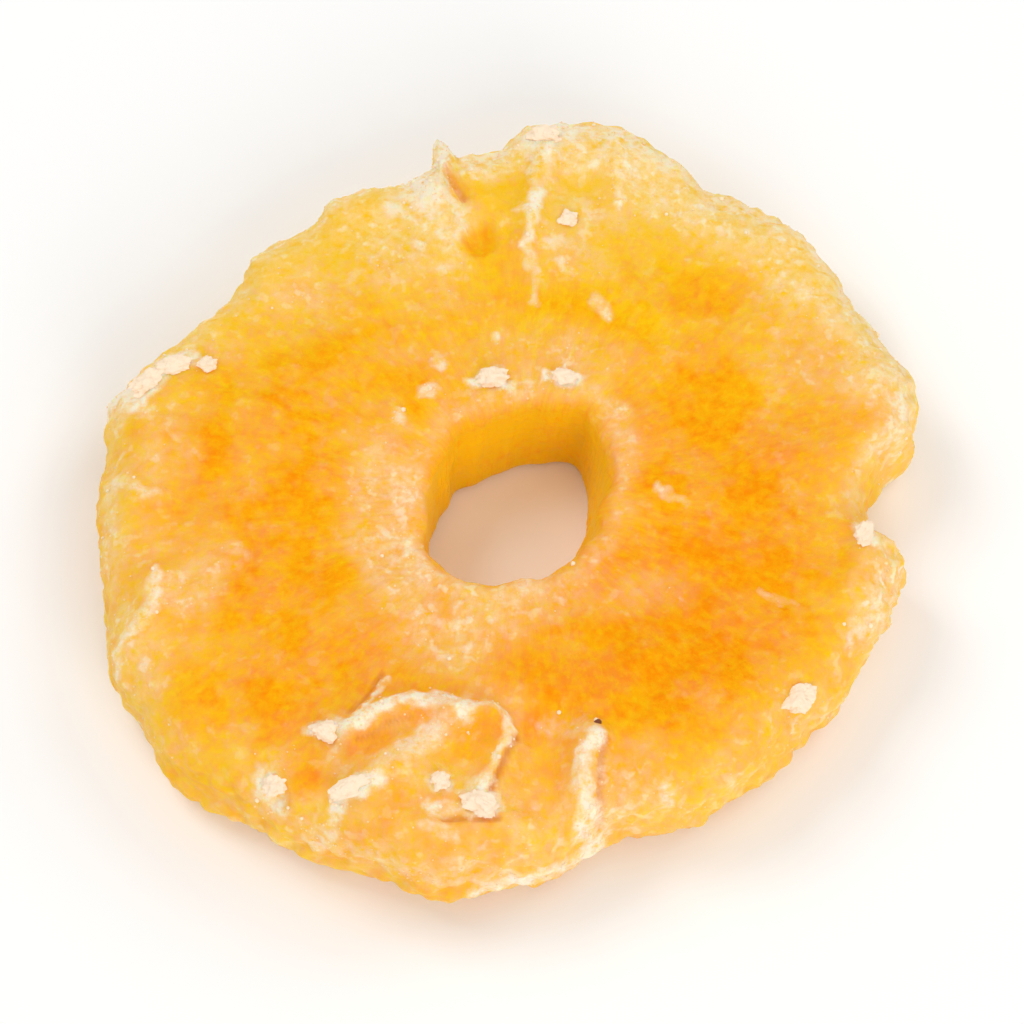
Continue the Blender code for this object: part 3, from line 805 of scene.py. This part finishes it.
def candied_flesh():
    """Candied pineapple, air dried: clear deep orange under a frosted bloom."""
    material = bpy.data.materials.new("frosted_candied_flesh")
    material.use_nodes = True
    tree = material.node_tree
    shader = tree.nodes["Principled BSDF"]
    place = add_node(tree, "ShaderNodeTexCoord").outputs["Object"]
    way = add_node(tree, "ShaderNodeAttribute", attribute_name="fibre_way").outputs["Vector"]
    painted = {}
    for name in ("frost", "sugar", "crack", "depth"):
        painted[name] = add_node(tree, "ShaderNodeAttribute", attribute_name=name).outputs["Fac"]

    fibre = add_node(tree, NOISE, {"Vector": way, "Scale": FIBRE_SCALE, "Detail": 3.0, "Roughness": 0.65})
    mottle = add_node(
        tree, NOISE, {"Vector": place, "Scale": 1 / MOTTLE_SIZE, "Detail": 3.0, "Roughness": 0.6}
    )
    mottle = add_node(tree, MATH, {0: mottle, 1: 0.5}, operation="SUBTRACT")
    veil = frost_veil(tree, place, mottle, painted)
    crust = sugar_crust(tree, place, mottle, painted)
    colour = mix_colours(tree, veil, bare_flesh(tree, place, fibre, mottle, painted), linear(FROST_COLOUR))
    colour = mix_colours(tree, crust, colour, linear(CRUST_AND_HIGHLIGHT_COLOUR))

    cover = add_node(tree, MATH, {0: veil, 1: crust}, operation="MAXIMUM")
    roughness = add_node(
        tree, MAP_RANGE,
        {"Value": cover, "From Max": COVERED_AT, "To Min": WET_ROUGHNESS, "To Max": SUGARED_ROUGHNESS},
    )
    height = add_node(tree, MATH, {0: fibre, 1: FIBRE_IN_BUMP, 2: mottle}, operation="MULTIPLY_ADD")
    bump = add_node(
        tree, "ShaderNodeBump", {"Height": height, "Strength": BUMP_STRENGTH, "Distance": BUMP_HEIGHT}
    )
    fill_inputs(tree, shader, {"Base Color": colour, "Roughness": roughness, "Normal": bump, **SYRUP})
    return material


flesh_material = candied_flesh()
print("flesh material nodes:", len(flesh_material.node_tree.nodes))

# %% [markdown]
# ## Fine relief by Geometry Nodes
# Fibres, small lumps and the grain of the frost repeat all over the slice, so a
# node tree moves every point along its own normal. Its inputs are the real
# sizes: how deep the fibres lie, how high the lumps stand, how rough the frost
# is. It leaves the underside flat, so that the slice rests as the solid does.

# %% Relief tree
RELIEF_SIZES = {
    "Fibre Depth": 0.16 * MM,
    "Lump Height": 0.55 * MM,
    "Lump Size": 2.4 * MM,
    "Frost Height": 1.3 * MM,
    "Frost Size": 0.9 * MM,
    "Sugar Height": 0.15 * MM,
    "Crack Depth": 0.35 * MM,
}
FLAT_BELOW, FREE_ABOVE = 0.3 * MM, 1.5 * MM


def socket_id(tree, name):
    """Identifier of a group input, which is how a modifier knows it."""
    for item in tree.interface.items_tree:
        if item.item_type == "SOCKET" and item.in_out == "INPUT" and item.name == name:
            return item.identifier
    raise KeyError(name)


def new_geometry_tree(name, inputs):
    """Geometry tree with a mesh in and out and the given named number inputs."""
    tree = bpy.data.node_groups.new(name, "GeometryNodeTree")
    tree.interface.new_socket("Geometry", in_out="INPUT", socket_type="NodeSocketGeometry")
    tree.interface.new_socket("Geometry", in_out="OUTPUT", socket_type="NodeSocketGeometry")
    for label, kind in inputs:
        tree.interface.new_socket(label, in_out="INPUT", socket_type=kind)
    return tree


def run_tree(piece, tree, values):
    """Put a tree on a piece, set its inputs, and turn the result into a plain mesh."""
    modifier = piece.modifiers.new(tree.name, "NODES")
    modifier.node_group = tree
    for label, value in values.items():
        modifier[socket_id(tree, label)] = value
    graph = bpy.context.evaluated_depsgraph_get()
    made = bpy.data.meshes.new_from_object(piece.evaluated_get(graph))
    piece.modifiers.remove(modifier)
    for number in reversed(range(len(made.materials))):
        if made.materials[number] is None:
            made.materials.pop(index=number)
    return made


def painted_masks(tree, names):
    """Values painted on the points, as sockets of a geometry tree."""
    masks = {}
    for name in names:
        mask = add_node(tree, "GeometryNodeInputNamedAttribute", {"Name": name}, data_type="FLOAT")
        masks[name] = mask.outputs["Attribute"]
    return masks


def finish_tree(tree, geometry, material):
    """End a tree in plain mesh with its material, because the export drops instances."""
    real = add_node(tree, "GeometryNodeRealizeInstances", {0: geometry})
    dressed = add_node(tree, "GeometryNodeSetMaterial", {0: real, "Material": material})
    add_node(tree, "NodeGroupOutput", {0: dressed})
    return tree


def relief_height(tree, group_in, place):
    """How far each point stands out: fibres, lumps, frost and sugar, less the cracks."""
    masks = painted_masks(tree, ("frost", "sugar", "crack"))
    way = add_node(tree, "GeometryNodeInputNamedAttribute", {"Name": "fibre_way"}, data_type="FLOAT_VECTOR")
    fibres = add_node(tree, NOISE, {"Vector": way.outputs["Attribute"], "Scale": 1.0, "Detail": 2.0})
    fibres = add_node(tree, MATH, {0: fibres, 1: 0.5}, operation="SUBTRACT")
    total = add_node(tree, MATH, {0: fibres, 1: group_in.outputs["Fibre Depth"]}, operation="MULTIPLY")
    for label, mask in (("Lump", None), ("Frost", masks["frost"])):
        scale = add_node(tree, MATH, {0: 1.0, 1: group_in.outputs[label + " Size"]}, operation="DIVIDE")
        lumps = add_node(tree, NOISE, {"Vector": place, "Scale": scale, "Detail": 2.5})
        lumps = add_node(tree, MATH, {0: lumps, 1: 0.5}, operation="SUBTRACT")
        if mask is not None:
            lumps = add_node(tree, MATH, {0: lumps, 1: mask}, operation="MULTIPLY")
        total = add_node(
            tree, MATH, {0: lumps, 1: group_in.outputs[label + " Height"], 2: total}, operation="MULTIPLY_ADD"
        )
    total = add_node(
        tree, MATH, {0: masks["sugar"], 1: group_in.outputs["Sugar Height"], 2: total},
        operation="MULTIPLY_ADD",
    )
    sunk = add_node(tree, MATH, {0: masks["crack"], 1: group_in.outputs["Crack Depth"]}, operation="MULTIPLY")
    return add_node(tree, MATH, {0: total, 1: sunk}, operation="SUBTRACT")


def relief_tree(material):
    """Tree that moves each point of the flesh along its normal, except near the table."""
    tree = new_geometry_tree("flesh_relief", [(label, "NodeSocketFloat") for label in RELIEF_SIZES])
    group_in = add_node(tree, "NodeGroupInput")
    place = add_node(tree, "GeometryNodeInputPosition")
    normal = add_node(tree, "GeometryNodeInputNormal")
    total = relief_height(tree, group_in, place)
    lift = add_node(tree, "ShaderNodeSeparateXYZ", {0: place})
    off_table = add_node(
        tree, MAP_RANGE, {"Value": lift.outputs["Z"], "From Min": FLAT_BELOW, "From Max": FREE_ABOVE}
    )
    total = add_node(tree, MATH, {0: total, 1: off_table}, operation="MULTIPLY")
    offset = add_node(tree, "ShaderNodeVectorMath", {0: normal, "Scale": total}, operation="SCALE")
    moved = add_node(
        tree, "GeometryNodeSetPosition", {"Geometry": group_in.outputs["Geometry"], "Offset": offset}
    )
    return finish_tree(tree, moved, material)


flesh.data = run_tree(flesh, relief_tree(flesh_material), RELIEF_SIZES)
print("fine mesh faces:", len(flesh.data.polygons))

# %% Dress the flesh
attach(flesh, "root")
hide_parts(NODE)
print("flesh dressed:", [item.name for item in flesh.data.materials])

# %% [markdown]
# ## Sugar crystals
# The largest crystals are lumps of sugar that dried onto the slice, up to nearly
# four millimetres long. Each starts as a ball of flat faces, is chipped by a
# little noise, stretched, and half sunk in the face below it, which a ray from
# above finds.

# %% Large crystals
# Place in mm, half length and half width in mm, turn in degrees
CRYSTALS = (
    ((24.4, -20.9), 1.5, 1.3, 20.0),
    ((-31.6, 9.2), 1.6, 1.0, 35.0),
    ((-29.4, 10.8), 1.4, 0.9, 15.0),
    ((-26.5, 10.8), 0.8, 0.7, 0.0),
    ((-15.3, -25.0), 1.6, 0.9, -10.0),
    ((-19.9, -29.3), 1.1, 0.9, 60.0),
    ((-2.5, -31.7), 1.5, 1.1, -20.0),
    ((-5.9, -29.8), 0.9, 0.8, 40.0),
    ((3.1, 34.3), 1.5, 1.0, -20.0),
    ((5.1, 25.3), 0.8, 0.8, 0.0),
    ((-1.6, 9.6), 1.3, 0.9, 10.0),
    ((4.8, 9.4), 1.2, 0.7, -10.0),
    ((30.4, -5.9), 1.1, 0.7, 80.0),
    ((-13.4, -30.5), 1.8, 0.8, 30.0),
)
CRYSTAL_RISE, CRYSTAL_LIFT = 0.6, 0.15
CHIP_DEPTH, CHIP_SCALE = 0.5, 1.7
POWDER_DEPTH, POWDER_SCALE, POWDER_SHEET = 0.22, 6.0, 3.0
SUGAR_IOR = 1.54


def surface_under(surface, x, y):
    """Point of the flesh straight below a place, in metres."""
    start = Vector(((x + shift[0]) * MM, (y + shift[1]) * MM, 2 * SLICE_THICKNESS * MM))
    return surface.ray_cast(start, Vector((0.0, 0.0, -1.0)))[0]


def add_crystal(crystals, surface, place, half_length, half_width, turn_degrees):
    """Add one chipped crystal to the mesh being built."""
    seat = surface_under(surface, *place)
    half_height = CRYSTAL_RISE * half_width
    turned = Matrix.Rotation(math.radians(turn_degrees), 3, "Z")
    ball = bmesh.ops.create_icosphere(crystals, subdivisions=4, radius=1.0)
    for vert in ball["verts"]:
        chip = CHIP_DEPTH * noise.noise(vert.co * CHIP_SCALE + Vector((*place, 0.0)))
        powder = POWDER_DEPTH * noise.noise(vert.co * POWDER_SCALE + Vector((*place, POWDER_SHEET)))
        size = Vector((half_length, half_width, half_height)) * (MM * (1.0 + chip + powder))
        vert.co = seat + turned @ (vert.co * size) + Vector((0.0, 0.0, half_height * MM * CRYSTAL_LIFT))


def crystal_sugar():
    """Lump sugar: cream white and dry, with a faint shine."""
    return plain_material("crystal_sugar", "#FFE8CB", roughness=0.6, ior=SUGAR_IOR, shine=0.2)


surface = BVHTree.FromPolygons(
    [vert.co for vert in flesh.data.vertices], [face.vertices[:] for face in flesh.data.polygons]
)
crystals = bmesh.new()
for crystal in CRYSTALS:
    add_crystal(crystals, surface, *crystal)
crystal_mesh = bpy.data.meshes.new("sugar_crystals")
crystals.to_mesh(crystal_mesh)
crystals.free()
crystal_mesh.materials.append(crystal_sugar())
crystal_piece = bpy.data.objects.new("sugar_crystals", crystal_mesh)
bpy.context.scene.collection.objects.link(crystal_piece)
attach(crystal_piece, "root")
print("crystals:", len(CRYSTALS), "triangles:", len(crystal_mesh.polygons))

# %% [markdown]
# ## Grains of sugar
# Fine sugar clings wherever the surface is frosted, and thickest on the strokes.
# A node tree scatters the grains over the flesh: the painted frost and sugar set
# how many lie on a square metre, each grain is a small ball of flat faces turned
# its own way, and its size is drawn between two limits. The same tree is used
# twice, for fine grains and for a few coarse ones.

# %% Grain tree
BARE_BELOW = 0.12


def grain_density(tree, group_in):
    """How many grains lie on a square metre, by the painted frost and sugar."""
    masks = painted_masks(tree, ("frost", "sugar"))
    thick_frost = add_node(
        tree, MAP_RANGE, {"Value": masks["frost"], "From Min": BARE_BELOW, "From Max": 1.0}
    )
    on_frost = add_node(
        tree, MATH, {0: thick_frost, 1: group_in.outputs["Grains On Frost"]}, operation="MULTIPLY"
    )
    return add_node(
        tree, MATH, {0: masks["sugar"], 1: group_in.outputs["Grains On Sugar"], 2: on_frost},
        operation="MULTIPLY_ADD",
    )


def grain_tree(material):
    """Tree that scatters faceted grains over a mesh where its frost and sugar are painted."""
    numbers = ("Grains On Frost", "Grains On Sugar", "Least Radius", "Most Radius", "Lowest Level")
    inputs = [(label, "NodeSocketFloat") for label in numbers] + [("Seed", "NodeSocketInt")]
    tree = new_geometry_tree("scattered_grains", inputs)
    group_in = add_node(tree, "NodeGroupInput")
    seed = group_in.outputs["Seed"]
    place = add_node(tree, "GeometryNodeInputPosition")
    height = add_node(tree, "ShaderNodeSeparateXYZ", {0: place})
    high_enough = add_node(
        tree, "FunctionNodeCompare", {0: height.outputs["Z"], 1: group_in.outputs["Lowest Level"]},
        data_type="FLOAT", operation="GREATER_THAN",
    )
    scattered = add_node(
        tree, "GeometryNodeDistributePointsOnFaces",
        {
            "Mesh": group_in.outputs["Geometry"],
            "Selection": high_enough,
            "Density": grain_density(tree, group_in),
            "Seed": seed,
        },
        distribute_method="RANDOM",
    )
    grain = add_node(tree, "GeometryNodeMeshIcoSphere", {"Radius": 1.0, "Subdivisions": 1})
    turned = add_node(
        tree, "FunctionNodeRandomValue", {1: (math.tau, math.tau, math.tau), "Seed": seed},
        data_type="FLOAT_VECTOR",
    )
    size = add_node(
        tree, "FunctionNodeRandomValue",
        {2: group_in.outputs["Least Radius"], 3: group_in.outputs["Most Radius"], "Seed": seed},
        data_type="FLOAT",
    )
    grains = add_node(
        tree, "GeometryNodeInstanceOnPoints",
        {
            "Points": scattered.outputs["Points"],
            "Instance": grain.outputs["Mesh"],
            "Rotation": turned,
            "Scale": size.outputs[1],
        },
    )
    return finish_tree(tree, grains, material)


print("grains lie where the frost is over", BARE_BELOW)

# %% Scatter fine and coarse grains
PER_SQUARE_MM = 1e6
GRAIN_SHINE = 0.3


def fine_grain_sugar():
    """Fine sugar lying on wet flesh, which tints it."""
    return plain_material("fine_grain_sugar", "#FFDDA6", roughness=0.5, ior=SUGAR_IOR, shine=GRAIN_SHINE)


def coarse_grain_sugar():
    """Coarse sugar, less tinted by the flesh and a little smoother."""
    return plain_material("coarse_grain_sugar", "#FFE9C6", roughness=0.45, ior=SUGAR_IOR, shine=GRAIN_SHINE)


def scatter_grains(name, material, sizes):
    """Make one piece of grains over the flesh."""
    grains = run_tree(flesh, grain_tree(material), sizes)
    piece = bpy.data.objects.new(name, grains)
    bpy.context.scene.collection.objects.link(piece)
    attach(piece, "root")
    print(name, "triangles:", len(grains.polygons))


fine_grains = {
    "Grains On Frost": 1.0 * PER_SQUARE_MM,
    "Grains On Sugar": 1.6 * PER_SQUARE_MM,
    "Least Radius": 0.05 * MM,
    "Most Radius": 0.12 * MM,
    "Lowest Level": 2.0 * MM,
    "Seed": 4,
}
coarse_grains = {
    "Grains On Frost": 0.02 * PER_SQUARE_MM,
    "Grains On Sugar": 0.2 * PER_SQUARE_MM,
    "Least Radius": 0.12 * MM,
    "Most Radius": 0.26 * MM,
    "Lowest Level": 4.0 * MM,
    "Seed": 9,
}
scatter_grains("fine_sugar", fine_grain_sugar(), fine_grains)
scatter_grains("coarse_sugar", coarse_grain_sugar(), coarse_grains)

# %% [markdown]
# ## Dark speck
# One dark speck sits beside the front fold: a scrap of scorched fibre, under a
# millimetre across. It is a small flattened ball, chipped like the crystals.

# %% Speck
SPECK_PLACE = (7.4, -24.1)
SPECK_HALF_SIZE = (0.36, 0.28, 0.16)
SPECK_CHIP = 0.4


def scorched_fibre():
    """Fibre browned by the drying heat."""
    return plain_material("scorched_fibre", "#7A3A12", roughness=0.6)


speck = bmesh.new()
seat = surface_under(surface, *SPECK_PLACE)
for vert in bmesh.ops.create_icosphere(speck, subdivisions=2, radius=1.0)["verts"]:
    chip = 1.0 + SPECK_CHIP * noise.noise(vert.co * CHIP_SCALE)
    vert.co = seat + vert.co * Vector(SPECK_HALF_SIZE) * (MM * chip)
speck_mesh = bpy.data.meshes.new("dark_speck")
speck.to_mesh(speck_mesh)
speck.free()
speck_mesh.materials.append(scorched_fibre())
speck_piece = bpy.data.objects.new("dark_speck", speck_mesh)
bpy.context.scene.collection.objects.link(speck_piece)
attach(speck_piece, "root")
print("speck, mm:", [round(2 * size, 2) for size in SPECK_HALF_SIZE])
